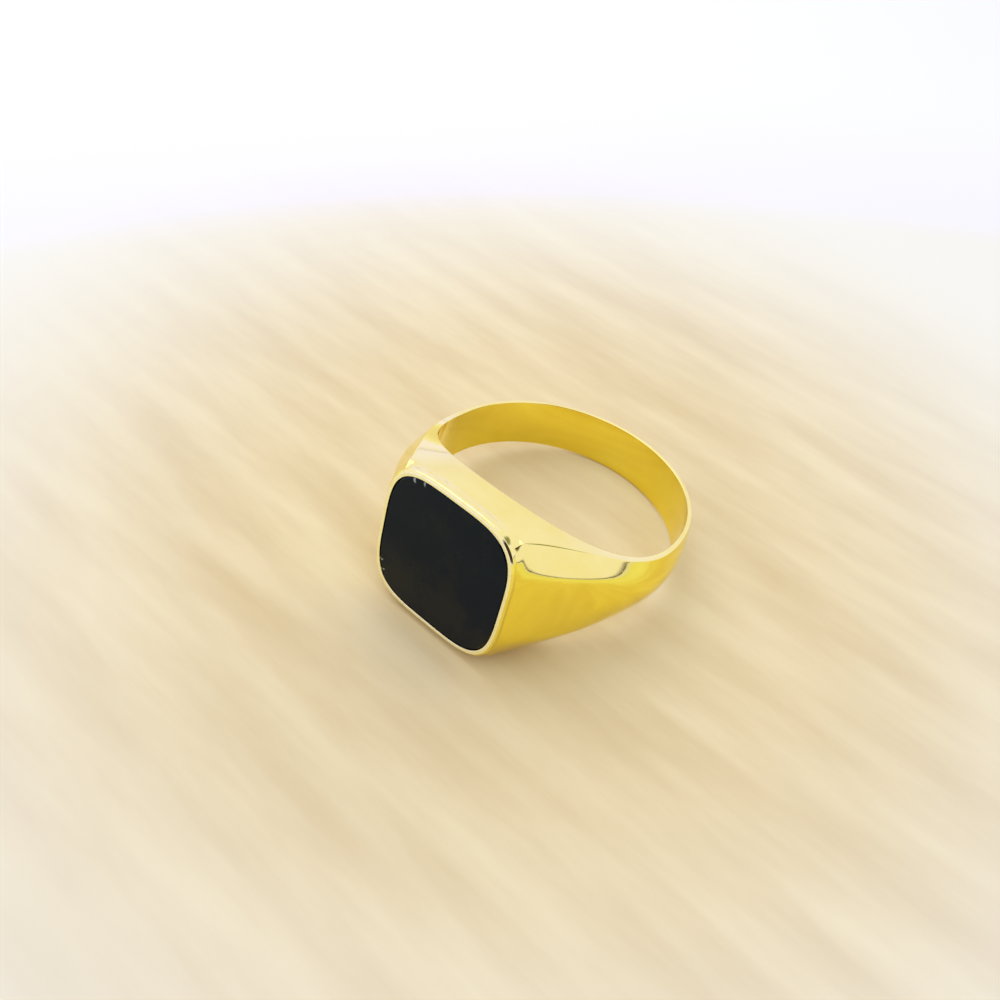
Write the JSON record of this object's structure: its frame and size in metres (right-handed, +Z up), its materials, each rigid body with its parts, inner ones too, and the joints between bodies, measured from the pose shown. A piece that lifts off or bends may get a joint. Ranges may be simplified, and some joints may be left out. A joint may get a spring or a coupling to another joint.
{
  "type": "signet ring",
  "caption": "Yellow gold signet ring with a cushion-shaped head and a flat black onyx set flush inside a bevelled rim, lying on its side",
  "frame": {"origin": "on the table, under the middle of the ring's bounding box, as the ring lies on its side", "axes": "+X from the back of the shank towards the stone, +Y across the stone's width, +Z up from the table"},
  "size_m": [0.024, 0.0214, 0.0119],
  "materials": {
    "gold": "polished yellow gold",
    "cement": "set dark cement",
    "onyx": "polished black onyx"
  },
  "bodies": {
    "root": {"shank": "gold", "head": "gold", "stone_tray": "gold", "cement_bed": "cement", "onyx_tablet": "onyx", "bezel_rim": "gold"}
  },
  "joints": []
}
